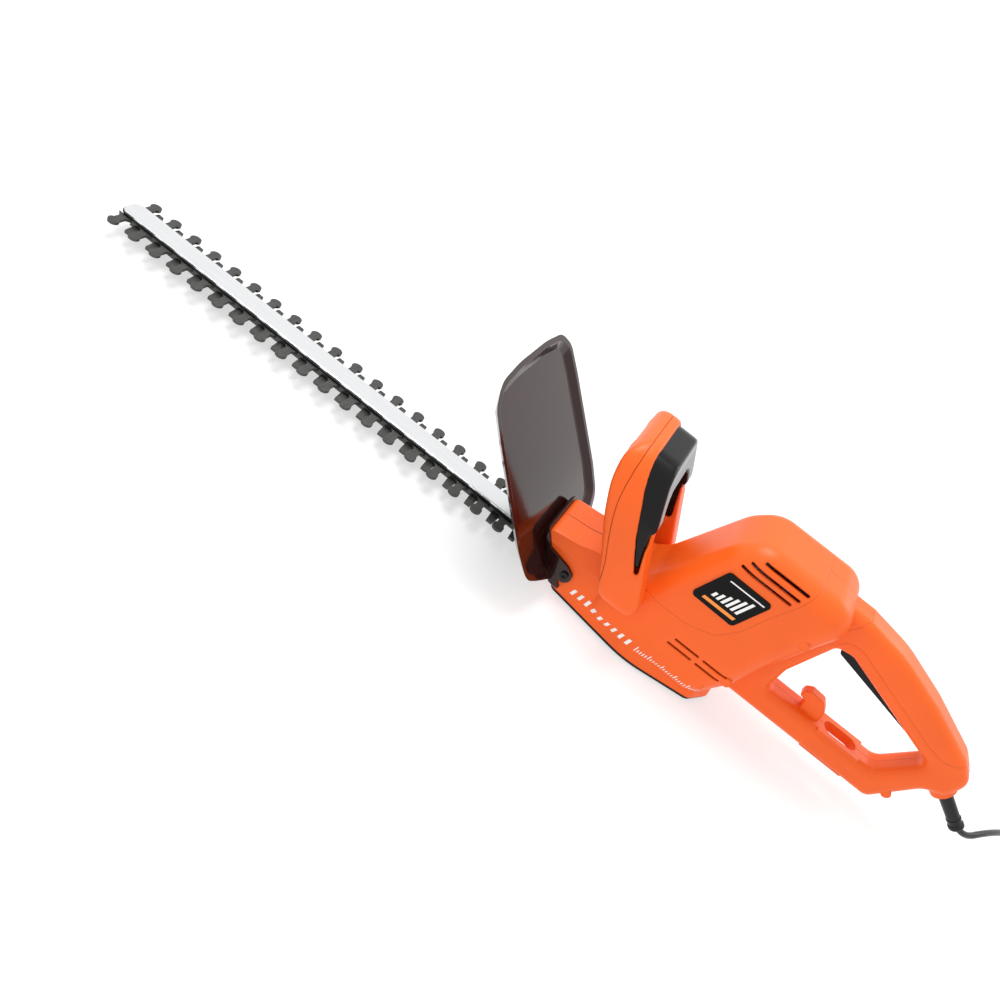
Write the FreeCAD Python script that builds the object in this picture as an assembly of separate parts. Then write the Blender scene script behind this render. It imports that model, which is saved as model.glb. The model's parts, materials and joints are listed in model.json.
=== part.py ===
import FreeCAD, Part
import math
import os

# Electric hedge trimmer, all lengths in millimetres.
# Blade tip points to -X, rear handle to +X, left side of the machine to -Y, up is +Z.
# The working frame has its zero at the first left tooth, at the height of the blades.
V = FreeCAD.Vector
SHIFT_X = -438.3
SHIFT_Z = 14.0

# Driving dimensions
PITCH = 24.0
TEETH = 19
TIP_Y = 32.6
BULB_R = 5.3
NECK_W = 7.0
BAR_HALF = 11.5
BLADE_T = 2.6
THROW = 6.0
CAM_R = 7.0
GEAR_X = 570.0
MODULE = 1.25
GEAR_Z = 60
PINION_Z = 10
MOTOR_X = GEAR_X + MODULE * (GEAR_Z + PINION_Z) / 2
WALL = 2.6
BODY_HALF = 42.0
NOSE_HALF = 33.0
NOSE_CREASE_Z = 27.0
NOSE_SLOPE = 0.32
SKIRT_LEAN = 4.6
SKIRT_TOP_Z = 16.0
GRIP_HALF = 16.0
CORD_R = 2.8
BAR_BOLTS = [60.0, 156.0, 252.0, 348.0, 444.0]

os.makedirs("parts", exist_ok=True)


def save(name, shape):
    out = shape.copy()
    out.translate(V(SHIFT_X, 0, SHIFT_Z))
    out.exportStep("parts/" + name + ".step")
    b = out.BoundBox
    size = [b.XMin, b.XMax, b.YMin, b.YMax, b.ZMin, b.ZMax]
    print(name, len(out.Solids), round(out.Volume), out.isValid(), [round(v, 1) for v in size])


def box(x0, x1, y0, y1, z0, z1):
    return Part.makeBox(x1 - x0, y1 - y0, z1 - z0, V(x0, y0, z0))


def rod(radius, start, end):
    axis = V(*end) - V(*start)
    return Part.makeCylinder(radius, axis.Length, V(*start), axis)


def tube(outer, inner, start, end):
    return rod(outer, start, end).cut(rod(inner, start, end))


def cone(r0, r1, start, end):
    axis = V(*end) - V(*start)
    return Part.makeCone(r0, r1, axis.Length, V(*start), axis)


def rounded_wire(points):
    # closed wire through (a, b, radius) corners in the XZ plane
    count = len(points)
    edges = []
    starts = []
    ends = []
    mids = []
    for i in range(count):
        before = V(points[i - 1][0], 0, points[i - 1][1])
        here = V(points[i][0], 0, points[i][1])
        after = V(points[(i + 1) % count][0], 0, points[(i + 1) % count][1])
        a = (before - here).normalize()
        b = (after - here).normalize()
        half = a.getAngle(b) / 2
        radius = points[i][2]
        if radius <= 0 or half > 1.55:
            starts.append(here)
            ends.append(here)
            mids.append(None)
            continue
        reach = radius / math.tan(half)
        centre = here + (a + b).normalize() * (radius / math.sin(half))
        starts.append(here + a * reach)
        ends.append(here + b * reach)
        mids.append(centre + (here - centre).normalize() * radius)
    for i in range(count):
        if mids[i] is not None:
            edges.append(Part.Arc(starts[i], mids[i], ends[i]).toShape())
        nxt = starts[(i + 1) % count]
        if (nxt - ends[i]).Length > 1e-4:
            edges.append(Part.LineSegment(ends[i], nxt).toShape())
    return Part.Wire(edges)


def side_slab(points, y0, y1):
    # side profile pushed out between two Y values
    face = Part.Face(rounded_wire(points))
    face.translate(V(0, y0, 0))
    return face.extrude(V(0, y1 - y0, 0))


def plan_slab(points, z0, z1):
    # plan profile (x, y, radius) pushed up between two heights
    wire = rounded_wire(points)
    wire.rotate(V(0, 0, 0), V(1, 0, 0), -90)
    face = Part.Face(wire)
    slab = face.extrude(V(0, 0, z1 - z0))
    slab.translate(V(0, 0, z0))
    return slab


def front_slab(points, x0, x1):
    # front profile (y, z, radius) pushed back between two X values
    wire = rounded_wire(points)
    wire.rotate(V(0, 0, 0), V(0, 0, 1), 90)
    face = Part.Face(wire)
    slab = face.extrude(V(x1 - x0, 0, 0))
    slab.translate(V(x0, 0, 0))
    return slab


def soft_slab(points, half, radius):
    # symmetric slab with both outline edges rounded
    slab = side_slab(points, -half, half)
    rim = [e for e in slab.Edges if abs(abs(e.CenterOfMass.y) - half) < 1e-3]
    return slab.makeFillet(radius, rim)


def inset(points, depth):
    # corner list moved inwards by a wall thickness, for a profile drawn anticlockwise in X, Z
    count = len(points)
    area = 0
    for i in range(count):
        x0, z0 = points[i][0], points[i][1]
        x1, z1 = points[(i + 1) % count][0], points[(i + 1) % count][1]
        area += x0 * z1 - x1 * z0
    turn = 1 if area > 0 else -1
    moved = []
    for i in range(count):
        p = V(points[i - 1][0], points[i - 1][1], 0)
        q = V(points[i][0], points[i][1], 0)
        r = V(points[(i + 1) % count][0], points[(i + 1) % count][1], 0)
        a = (q - p).normalize()
        b = (r - q).normalize()
        na = V(-a.y, a.x, 0) * turn
        nb = V(-b.y, b.x, 0) * turn
        corner = (na + nb) * (1 / (1 + na.dot(nb)))
        convex = (a.cross(b).z * turn) > 0
        radius = points[i][2]
        radius = max(radius - depth, 0.6) if convex else radius + depth
        moved.append((q.x + corner.x * depth, q.y + corner.y * depth, radius))
    return moved


# Side profiles of the casing
MOTOR_SIDE = [(530, -10, 20), (645, -10, 24), (664, 26, 30), (672, 60, 60), (688, 106, 60),
              (704, 148, 22), (606, 148, 30), (588, 130, 40), (556, 60, 24), (530, 40, 10)]
NOSE_SIDE = [(496, -10, 7), (590, -10, 7), (590, 62, 7), (556, 56, 40), (495, 41, 40),
             (463, 37, 7), (470, 26, 7)]
LOOP_SIDE = [(650, 8, 10), (811, 8, 10), (834, 50, 14), (851, 58, 12), (853, 80, 14), (838, 94, 24),
             (790, 117, 90), (745, 134, 90), (706, 141, 20), (650, 141, 10)]
HOLE_SIDE = [(690, 33, 5), (797, 33, 11), (821, 70, 7), (716, 106, 10), (703, 104, 6), (690, 58, 7)]
COVER_SIDE = [(540, 52, 3), (600, 54, 40), (622, 62, 14), (634, 80, 14), (642, 106, 30), (656, 142, 30),
              (662, 170, 4), (530, 170, 4)]
GRIP_SIDE = [(687, 109, 2), (697, 105, 3), (704, 118, 8), (716, 119, 12), (806, 88, 20), (824, 84, 20),
             (870, 108, 5), (870, 170, 5), (706, 170, 3), (705, 141, 3)]
SKIRT_PLAN = [(496, -29, 8), (582, -46, 90), (646, -34, 10), (660, -15, 10), (660, 15, 10), (646, 34, 10),
              (582, 46, 90), (496, 29, 8)]


def soften(slab, radius, half):
    rim = [e for e in slab.Edges if abs(abs(e.CenterOfMass.y) - half) < 1e-3]
    return slab.makeFillet(radius, rim)


def soft_slab(points, half, radius):
    # symmetric slab with both outline edges rounded
    return soften(side_slab(points, -half, half), radius, half)


def handle_loop(outer, hole, half, radius):
    ring = side_slab(outer, -half, half).cut(side_slab(hole, -half - 1, half + 1))
    return soften(ring, radius, half)


def nose_form(depth, radius):
    # gearbox nose with its upper sides sloped inwards, grown or shrunk by a depth
    body = soft_slab(inset(NOSE_SIDE, depth), NOSE_HALF - depth, radius)
    low = NOSE_HALF + 0.5 - depth * 1.04
    high = low - NOSE_SLOPE * (100 - NOSE_CREASE_Z)
    for side in (-1, 1):
        wedge = [(side * low, NOSE_CREASE_Z, 0), (side * 60, NOSE_CREASE_Z, 0), (side * 60, 100, 0),
                 (side * high, 100, 0)]
        body = body.cut(front_slab(wedge, 400, 620))
    return body


def skirt_form(depth):
    # flared foot of the gearbox, wide at the base plate and narrower higher up
    wires = []
    for lean, z in ((0.0, -10 + depth), (SKIRT_LEAN, SKIRT_TOP_Z - depth)):
        wire = rounded_wire(inset(SKIRT_PLAN, depth + lean))
        wire.rotate(V(0, 0, 0), V(1, 0, 0), -90)
        wire.translate(V(0, 0, z))
        wires.append(wire)
    return Part.makeLoft(wires, True, True)


def casing_solid(depth):
    # whole outside form when depth is 0, the hollow inside it when depth is the wall
    motor = soft_slab(inset(MOTOR_SIDE, depth), BODY_HALF - depth, 20.0 - depth)
    nose = nose_form(depth, 6.0 - depth)
    grow = -depth
    loop = handle_loop(inset(LOOP_SIDE, depth), inset(HOLE_SIDE, grow), GRIP_HALF - depth, 9.0 - depth)
    skirt = skirt_form(depth)
    return motor.fuse([nose, loop, skirt])


def screw_posts():
    # x, z of the screws that join the two casing halves, and the half width there
    return [(484, 24, NOSE_HALF), (656, 32, BODY_HALF), (676, 104, BODY_HALF),
            (668, 20, GRIP_HALF), (741, 20.5, GRIP_HALF), (818, 26, GRIP_HALF), (841, 72, GRIP_HALF)]


def gear_profile(teeth, tip_cut, root_cut, gap):
    # spur gear outline with straight flanks, gap is the backlash taken off each tooth
    pitch_r = MODULE * teeth / 2
    tip_r = pitch_r + tip_cut
    root_r = pitch_r - root_cut
    step = 2 * math.pi / teeth
    points = []
    for i in range(teeth):
        mid = i * step
        at_pitch = (math.pi * MODULE / 2 - gap) / 2 / pitch_r
        at_tip = at_pitch * pitch_r / tip_r - 0.36 * tip_cut / tip_r
        at_root = at_pitch * pitch_r / root_r + 0.36 * root_cut / root_r
        at_root = min(at_root, step / 2 * 0.82)
        for angle, radius in ((-at_root, root_r), (-at_tip, tip_r), (at_tip, tip_r), (at_root, root_r)):
            points.append(V(radius * math.cos(mid + angle), radius * math.sin(mid + angle), 0))
    points.append(points[0])
    return Part.Face(Part.makePolygon(points))


def spur_gear(teeth, x, z0, z1, turn, tip_cut, root_cut, gap):
    gear = gear_profile(teeth, tip_cut, root_cut, gap).extrude(V(0, 0, z1 - z0))
    gear.rotate(V(0, 0, 0), V(0, 0, 1), turn)
    gear.translate(V(x, 0, z0))
    return gear


def blade_holes(length, z):
    # oblong guide holes that the bar bolts pass through
    cuts = []
    for x in BAR_BOLTS:
        lo = x - 3.85 - (length if length > 0 else 0)
        hi = x + 3.85 + (-length if length < 0 else 0)
        cuts.append(plan_slab([(lo, -3.85, 3.8), (hi, -3.85, 3.8), (hi, 3.85, 3.8), (lo, 3.85, 3.8)],
                              z - 1, z + BLADE_T + 1))
    return cuts


def upper_blade():
    z = 0.2
    half = 12.5
    solids = [box(1, 545, -half, half, z, z + BLADE_T)]
    solids.append(plan_slab([(530, -19, 5), (601, -19, 5), (601, 19, 5), (530, 19, 5)], z, z + BLADE_T))
    solids.append(Part.makeCylinder(half, BLADE_T, V(4.5, 0, z)))
    for i in range(TEETH):
        x = PITCH * i
        for side in (-1, 1):
            bulb_y = side * (TIP_Y - BULB_R)
            solids.append(Part.makeCylinder(BULB_R, BLADE_T, V(x, bulb_y, z)))
            neck = [(x - NECK_W / 2, 8 * side, 0), (x + NECK_W / 2, 8 * side, 0),
                    (x + NECK_W / 2, bulb_y, 0), (x - NECK_W / 2, bulb_y, 0)]
            solids.append(plan_slab(neck, z, z + BLADE_T))
            root = [(x - 8.2, 11.5 * side, 0), (x + 8.2, 11.5 * side, 0), (x + NECK_W / 2 - 0.2, 16.5 * side, 0),
                    (x - NECK_W / 2 + 0.2, 16.5 * side, 0)]
            solids.append(plan_slab(root, z, z + BLADE_T))
    blade = solids[0].fuse(solids[1:])
    lo = GEAR_X - 13.6
    hi = GEAR_X + 13.6
    yoke = plan_slab([(lo - 12.2, -13.6, 4), (hi, -13.6, 4), (hi, 13.6, 4), (lo - 12.2, 13.6, 4)], z - 1, z + 5)
    return blade.cut([yoke] + blade_holes(12.0, z)).removeSplitter()


def lower_blade():
    z = -0.2 - BLADE_T
    half = 12.0
    solids = [box(6, 545, -half, half, z, z + BLADE_T)]
    solids.append(plan_slab([(530, -19, 5), (603, -19, 5), (603, 19, 5), (530, 19, 5)], z, z + BLADE_T))
    solids.append(Part.makeCylinder(half, BLADE_T, V(12, 0, z)))
    for i in range(TEETH):
        for side, shift in ((-1, PITCH - 9.0), (1, 9.0)):
            x = PITCH * i + shift
            tooth = [(x - 4.6, 8 * side, 0), (x + 4.6, 8 * side, 0), (x + 2.9, 25.8 * side, 0.8),
                     (x - 2.9, 25.8 * side, 0.8)]
            solids.append(plan_slab(tooth, z, z + BLADE_T))
    blade = solids[0].fuse(solids[1:])
    lo = GEAR_X - 13.6
    hi = GEAR_X + 13.6
    yoke = plan_slab([(lo, -13.6, 4), (hi + 12.2, -13.6, 4), (hi + 12.2, 13.6, 4), (lo, 13.6, 4)], z - 1, z + 5)
    return blade.cut([yoke] + blade_holes(-12.0, z)).removeSplitter()


def blade_bar():
    bar = plan_slab([(-8, -BAR_HALF, 8), (524, -BAR_HALF, 2), (524, BAR_HALF, 2), (-8, BAR_HALF, 8)], 3.2, 6.4)
    top = [e for e in bar.Edges if e.CenterOfMass.z > 6.3]
    bar = bar.makeFillet(0.7, top)
    cuts = [rod(2.6, (x, 0, 3), (x, 0, 5.6)) for x in BAR_BOLTS]
    cuts += [rod(2.1, (x, 0, 3), (x, 0, 7)) for x in (506, 518)]
    return bar.cut(cuts)


def bar_bolts():
    bolts = []
    for x in BAR_BOLTS:
        head = rod(6.6, (x, 0, -6.4), (x, 0, -3.2))
        head = head.makeFillet(1.2, [e for e in head.Edges if e.CenterOfMass.z < -6.3])
        head = head.cut(box(x - 0.8, x + 0.8, -5, 5, -6.5, -5.4))
        bolts.append(head.fuse([rod(3.4, (x, 0, -3.3), (x, 0, 3.2)), rod(2.6, (x, 0, 3), (x, 0, 5.6))]))
    return Part.makeCompound(bolts)


def gear_plate():
    outline = [(500, -16, 6), (530, -28, 10), (560, -36, 10), (648, -36, 12), (648, 36, 12), (560, 36, 10),
               (530, 28, 10), (500, 16, 6)]
    plate = plan_slab(outline, 15, 18)
    solids = [rod(14, (MOTOR_X, 0, 17), (MOTOR_X, 0, 26)), rod(11, (GEAR_X, 0, 17), (GEAR_X, 0, 24)),
              box(500, 526, -11, 11, 6.4, 16)]
    plate = plate.fuse(solids)
    cuts = [rod(11, (MOTOR_X, 0, 18.5), (MOTOR_X, 0, 27)), rod(6, (MOTOR_X, 0, 10), (MOTOR_X, 0, 30)),
            rod(8, (GEAR_X, 0, 14), (GEAR_X, 0, 22.6)), rod(2.1, (506, 0, 3), (506, 0, 30)),
            rod(2.1, (518, 0, 3), (518, 0, 30))]
    return plate.cut(cuts).removeSplitter()


def bar_screws():
    screws = []
    for x in (506, 518):
        screws.append(rod(2.1, (x, 0, 3.4), (x, 0, 18)).fuse(rod(3.8, (x, 0, 18), (x, 0, 21))))
    return Part.makeCompound(screws)


def base_plate():
    plan = inset(SKIRT_PLAN, 1.2)
    plate = plan_slab(plan, -14, -10)
    plate = plate.makeFillet(1.5, [e for e in plate.Edges if e.CenterOfMass.z < -13.9])
    boss = rod(12, (GEAR_X, 0, -11), (GEAR_X, 0, -5.6))
    cut = rod(8, (GEAR_X, 0, -10.6), (GEAR_X, 0, 0))
    plate = plate.fuse(boss).cut(cut)
    holes = [rod(2.3, (x, y, -15), (x, y, 0)) for x, y in BASE_SCREWS]
    seats = [rod(4.2, (x, y, -15), (x, y, -12.2)) for x, y in BASE_SCREWS]
    return plate.cut(holes + seats)


BASE_SCREWS = [(501, -20), (501, 20), (582, -36), (582, 36), (640, -26), (640, 26)]


def base_screws():
    screws = []
    for x, y in BASE_SCREWS:
        head = rod(3.9, (x, y, -13.6), (x, y, -12.2)).cut(box(x - 3, x + 3, y - 0.5, y + 0.5, -14, -12.9))
        screws.append(head.fuse(rod(1.8, (x, y, -12.4), (x, y, -4))))
    return Part.makeCompound(screws)


def eccentric_shaft():
    shaft = rod(5, (GEAR_X, 0, -10.4), (GEAR_X, 0, 22.4))
    upper = rod(CAM_R, (GEAR_X - THROW, 0, 0.3), (GEAR_X - THROW, 0, 2.7))
    lower = rod(CAM_R, (GEAR_X + THROW, 0, -2.7), (GEAR_X + THROW, 0, -0.3))
    collar = rod(8.5, (GEAR_X, 0, 3.3), (GEAR_X, 0, 5))
    return shaft.fuse([upper, lower, collar]).removeSplitter()


def drive_gear():
    gear = spur_gear(GEAR_Z, GEAR_X, 5, 13, 0.0, 1.0, 1.5, 0.75)
    cuts = [rod(5, (GEAR_X, 0, 4), (GEAR_X, 0, 15)), tube(31, 12, (GEAR_X, 0, 10.5), (GEAR_X, 0, 14))]
    for i in range(6):
        a = math.radians(60 * i + 30)
        x = GEAR_X + 21.5 * math.cos(a)
        y = 21.5 * math.sin(a)
        cuts.append(rod(5.5, (x, y, 4), (x, y, 14)))
    return gear.cut(cuts)


def armature_shaft():
    shaft = rod(4, (MOTOR_X, 0, 3.5), (MOTOR_X, 0, 131))
    return shaft.fuse(rod(6.5, (MOTOR_X, 0, 38), (MOTOR_X, 0, 45))).removeSplitter()


def pinion():
    gear = spur_gear(PINION_Z, MOTOR_X, 5, 14, 18.0, 1.0, 1.5, 0.75)
    return gear.cut(rod(4, (MOTOR_X, 0, 4), (MOTOR_X, 0, 15)))


def armature_core():
    core = rod(21, (MOTOR_X, 0, 46), (MOTOR_X, 0, 92))
    cuts = [rod(4, (MOTOR_X, 0, 45), (MOTOR_X, 0, 93))]
    for i in range(12):
        a = math.radians(30 * i)
        slot = box(14, 22, -1.1, 1.1, 45, 93).fuse(rod(2.6, (15, 0, 45), (15, 0, 93)))
        slot.rotate(V(0, 0, 0), V(0, 0, 1), math.degrees(a))
        slot.translate(V(MOTOR_X, 0, 0))
        cuts.append(slot)
    return core.cut(cuts)


def armature_windings():
    coils = []
    for i in range(12):
        a = math.radians(30 * i)
        x = MOTOR_X + 15 * math.cos(a)
        y = 15 * math.sin(a)
        coils.append(rod(2.2, (x, y, 44), (x, y, 94)))
    low = tube(18, 6.6, (MOTOR_X, 0, 41.5), (MOTOR_X, 0, 46))
    high = tube(18, 6.6, (MOTOR_X, 0, 92), (MOTOR_X, 0, 98))
    return low.fuse(coils + [high]).removeSplitter()


def commutator():
    ring = rod(12, (MOTOR_X, 0, 102), (MOTOR_X, 0, 117))
    cuts = [rod(4, (MOTOR_X, 0, 100), (MOTOR_X, 0, 120))]
    for i in range(24):
        slot = box(10.6, 13, -0.3, 0.3, 101, 115)
        slot.rotate(V(0, 0, 0), V(0, 0, 1), 15 * i)
        slot.translate(V(MOTOR_X, 0, 0))
        cuts.append(slot)
    return ring.cut(cuts)


def fan():
    disc = tube(34, 4, (MOTOR_X, 0, 30), (MOTOR_X, 0, 32))
    solids = [tube(9, 4, (MOTOR_X, 0, 30), (MOTOR_X, 0, 38))]
    for i in range(11):
        vane = box(14, 33.5, -0.9, 0.9, 31, 39)
        vane.rotate(V(14, 0, 0), V(0, 0, 1), 28)
        vane = vane.common(tube(33.8, 12, (0, 0, 30), (0, 0, 40)))
        vane.rotate(V(0, 0, 0), V(0, 0, 1), 360.0 / 11 * i)
        vane.translate(V(MOTOR_X, 0, 0))
        solids.append(vane)
    return disc.fuse(solids)


def stator():
    ring = rod(36, (MOTOR_X, 0, 46), (MOTOR_X, 0, 92))
    flats = [box(MOTOR_X - 40, MOTOR_X + 40, 33, 40, 40, 100), box(MOTOR_X - 40, MOTOR_X + 40, -40, -33, 40, 100)]
    bore = rod(21.6, (MOTOR_X, 0, 40), (MOTOR_X, 0, 100))
    pockets = []
    for side in (-1, 1):
        for end in (-1, 1):
            pocket = tube(30, 23.5, (MOTOR_X, 0, 40), (MOTOR_X, 0, 100))
            wedge = box(MOTOR_X - 15, MOTOR_X + 15, side * 20 - 12, side * 20 + 12, 39, 101)
            pockets.append(pocket.common(wedge))
            break
    return ring.cut(flats + [bore] + pockets)


def field_coils():
    coils = []
    for side in (-1, 1):
        arc = tube(29.6, 23.9, (MOTOR_X, 0, 40.5), (MOTOR_X, 0, 97.5))
        wedge = box(MOTOR_X - 14.5, MOTOR_X + 14.5, side * 20 - 12, side * 20 + 12, 39, 99)
        coils.append(arc.common(wedge))
    return Part.makeCompound(coils)


def ball_bearing(outer, inner, z0, z1):
    step = (outer - inner) * 0.32
    shell = tube(outer, outer - step, (MOTOR_X, 0, z0), (MOTOR_X, 0, z1))
    core = tube(inner + step, inner + 0.05, (MOTOR_X, 0, z0), (MOTOR_X, 0, z1))
    cage = tube(outer - step, inner + step, (MOTOR_X, 0, z0 + 0.8), (MOTOR_X, 0, z1 - 0.8))
    return shell.fuse([core, cage]).removeSplitter()


def bearing_bracket():
    bridge = box(MOTOR_X - 10, MOTOR_X + 10, -38.5, 38.5, 118, 121)
    seat = rod(12, (MOTOR_X, 0, 118), (MOTOR_X, 0, 130))
    feet = [box(MOTOR_X - 8, MOTOR_X + 8, side * 36.5 - 2, side * 36.5 + 2, 100, 121) for side in (-1, 1)]
    bracket = bridge.fuse([seat] + feet)
    return bracket.cut([rod(9.5, (MOTOR_X, 0, 121), (MOTOR_X, 0, 131)), rod(6, (MOTOR_X, 0, 110), (MOTOR_X, 0, 131))])


def brush_holders():
    holders = []
    for side in (-1, 1):
        y0 = min(side * 14, side * 34.5)
        y1 = max(side * 14, side * 34.5)
        case = box(MOTOR_X - 5, MOTOR_X + 5, y0, y1, 104, 116)
        y0 = min(side * 13, side * 33)
        y1 = max(side * 13, side * 33)
        holders.append(case.cut(box(MOTOR_X - 3.2, MOTOR_X + 3.2, y0, y1, 106, 114)))
    return Part.makeCompound(holders)


def brushes():
    blocks = []
    for side in (-1, 1):
        y0 = min(side * 12.35, side * 26)
        y1 = max(side * 12.35, side * 26)
        blocks.append(box(MOTOR_X - 3.2, MOTOR_X + 3.2, y0, y1, 106, 114))
    return Part.makeCompound(blocks)


def brush_springs():
    springs = []
    for side in (-1, 1):
        springs.append(spring(1.6, 0.3, 5, 6.6, (MOTOR_X, side * 26.2, 110), (0, side, 0)))
    return Part.makeCompound(springs)


# Guard, drawn flat in its own axes: across and up the slope. The face is flat and its rim flares back
GUARD_HALF = [(40, -2, 3), (66, 10, 30), (84.5, 20, 18), (88.3, 48, 30), (84, 135, 150), (80.5, 163, 18), (64, 178, 30),
              (28, 182, 150)]
GUARD_OUT = [(-a, b, r) for a, b, r in GUARD_HALF] + [(a, b, r) for a, b, r in GUARD_HALF[::-1]]
GUARD_FOOT_X = 487.2
GUARD_SLOPE = 0.91
GUARD_T = 3.0
RIM_DEPTH = 7.5
RIM_FLARE = 11.5


def guard_dish(lift, shrink):
    # solid dish between the outline of the face and the wider outline of the rim
    wires = []
    for lean, x in ((RIM_FLARE + shrink, lift), (shrink, lift + RIM_DEPTH)):
        wire = rounded_wire(inset(GUARD_OUT, lean))
        wire.rotate(V(0, 0, 0), V(0, 0, 1), 90)
        wire.translate(V(x, 0, 0))
        wires.append(wire)
    return Part.makeLoft(wires, True, True)


def guard():
    depth = RIM_DEPTH + 0.5
    shell = guard_dish(0.0, 0.0)
    shell = shell.cut(guard_dish(GUARD_T - 0.02, 0.6).common(front_slab([(-99, -20, 0), (99, -20, 0), (99, 200, 0),
                                                                        (-99, 200, 0)], GUARD_T, RIM_DEPTH + 1)))
    window = front_slab([(-13.5, -20, 1), (13.5, -20, 1), (13.5, 18, 2), (-13.5, 18, 2)], -1, depth + 1)
    shell = shell.cut(window)
    angle = math.degrees(math.atan(GUARD_SLOPE))
    shell.rotate(V(0, 0, 0), V(0, 1, 0), -angle)
    shell.translate(V(GUARD_FOOT_X, 0, 0))
    # socket round the front of the nose, with an arm along each side
    outer_nose = nose_form(-3.4, 9.0)
    inner_nose = nose_form(-0.35, 6.3)
    collar = [(449, 45, 1), (461, 45, 1), (505, -4, 1), (493.6, -4, 1)]
    arm = [(476, 14, 2), (476, 26, 2), (500, 20, 6), (511, 13, 7), (503, 3, 7), (488, 6, 3)]
    sleeve = outer_nose.common(side_slab(collar, -60, 60)).cut(inner_nose)
    arms = outer_nose.common(side_slab(arm, -60, 60)).cut(inner_nose)
    arms = arms.cut(box(400, 600, -30, 30, -50, 100))
    throat = box(440, 520, -20.5, 20.5, -20, 8.6)
    body = shell.fuse([sleeve, arms]).cut([inner_nose, throat])
    keep = [s for s in body.Solids if s.Volume > 500]
    return keep[0].fuse(keep[1:]) if len(keep) > 1 else keep[0]


def guard_screws():
    screws = []
    for side in (-1, 1):
        y = side * (NOSE_HALF + 3.4)
        head = rod(3.6, (501, y, 12), (501, y + side * 1.8, 12))
        head = head.cut(rod(1.6, (501, y + side * 0.8, 12), (501, y + side * 3, 12)))
        screws.append(head.fuse(rod(1.6, (501, y, 12), (501, side * 26, 12))))
    return Part.makeCompound(screws)


# Front handle: a side profile and a front ring that cross
BAIL_SIDE = [(534, 26, 14), (521, 50, 40), (495, 96, 60), (481, 124, 60), (474, 156.5, 16), (511, 156.5, 7),
             (517, 141, 20), (538, 92, 80), (562, 46, 14), (562, 27, 12)]
BAIL_OUT = [(-57, 27, 14), (-61, 110, 60), (-42, 156, 30), (42, 156, 30), (61, 110, 60), (57, 27, 14)]
BAIL_IN = [(-37, -20, 1), (-37, 96, 30), (-30, 132, 20), (30, 132, 20), (37, 96, 30), (37, -20, 1)]
# Switch bar: a core, and a thin flange that slides under the lip of the handle shell
BAR_SIDE = [(505, 160, 2), (513.5, 160, 2), (516, 154, 2), (520, 141, 20), (534, 109, 3), (530.5, 106, 2),
            (541, 76, 1), (538, 74, 1), (530, 90, 40), (511, 132, 30)]
FLANGE_SIDE = [(492, 160, 2), (506, 160, 2), (512, 133, 30), (529, 93, 40), (538, 76, 1), (534, 75, 1),
               (522, 93, 40), (509, 117, 40), (502, 129, 30), (494, 149, 20)]
LIP_SIDE = [(497, 175, 1), (499, 150, 20), (507, 131.6, 30), (514, 120, 40), (527, 95, 40), (542, 70, 1),
            (543.5, 73, 1), (531.8, 107, 1), (570, 107, 1), (570, 175, 1)]
BAR_IN = [(-38.5, -20, 1), (-38.5, 96, 28), (-31.5, 130, 19), (31.5, 130, 19), (38.5, 96, 28), (38.5, -20, 1)]
LIP_T = 2.7


def bail_solid():
    side = side_slab(BAIL_SIDE, -70, 70)
    ring = front_slab(BAIL_OUT, 440, 600).cut(front_slab(BAIL_IN, 430, 610))
    whole = side.common(ring)
    return whole


def bail_layer(side, from_depth, to_depth):
    # part of the front ring between two depths below its outer face, cut to a side profile
    outer = front_slab(inset(BAIL_OUT, from_depth), 440, 600)
    inner = front_slab(inset(BAIL_OUT, to_depth), 430, 610)
    return side_slab(side, -70, 70).common(outer.cut(inner))


def switch_bar():
    core = side_slab(BAR_SIDE, -70, 70)
    core = core.common(front_slab(inset(BAIL_OUT, LIP_T + 0.5), 440, 600).cut(front_slab(BAR_IN, 430, 610)))
    core = core.cut(box(430, 600, -70, 70, 0, 73.5))
    flange = bail_layer(FLANGE_SIDE, LIP_T + 0.5, LIP_T + 3.5)
    return core.fuse(flange).removeSplitter()


def bar_rooms():
    # space swept by the bar when it is pressed, one solid for each position
    rooms = []
    for push in (0, 2.2, 4.4):
        core = side_slab(inset(BAR_SIDE, -0.5), -70, 70)
        ring = front_slab(inset(BAIL_OUT, LIP_T), 440, 600).cut(front_slab(inset(BAR_IN, 8), 430, 610))
        core = core.common(ring)
        flange = bail_layer(inset(FLANGE_SIDE, -0.5), LIP_T, LIP_T + 4.0)
        for room in (core, flange):
            room.translate(V(-push, 0, 0))
            rooms.append(room)
    return rooms


def largest(shape):
    solids = sorted(shape.Solids, key=lambda s: -s.Volume)
    for piece in solids[1:]:
        print("   loose piece", round(piece.Volume, 1), [round(v, 1) for v in piece.CenterOfMass])
    return solids[0]


def half_of(shape, side):
    keep = box(430, 900, -120, 0, -40, 220) if side < 0 else box(430, 900, 0, 120, -40, 220)
    solids = sorted(shape.common(keep).Solids, key=lambda s: -s.Volume)
    for piece in solids[1:]:
        print("   loose piece", round(piece.Volume, 1), [round(v, 1) for v in piece.CenterOfMass])
    return solids[0]


def retainer():
    # hook and web that hold a loop of the extension lead
    hook = side_slab([(722, 26, 0.5), (720, 42, 2), (714, 43, 2), (714, 49, 3), (719, 53, 4), (732, 52, 5),
                      (739, 44, 6), (742, 26, 0.5)], -5, 5)
    hook = soften(hook, 1.5, 5)
    web = side_slab([(742, 9, 0.5), (784, 9, 0.5), (784, 32.9, 0.5), (742, 32.9, 0.5)], -13, 13)
    return hook, web


def retainer_cut():
    slot = plan_slab([(747, -7, 6.9), (779, -7, 6.9), (779, 7, 6.9), (747, 7, 6.9)], 0, 60)
    pocket = box(745, 781, -11, 30, 0, 24)
    return slot.fuse(pocket)


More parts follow.
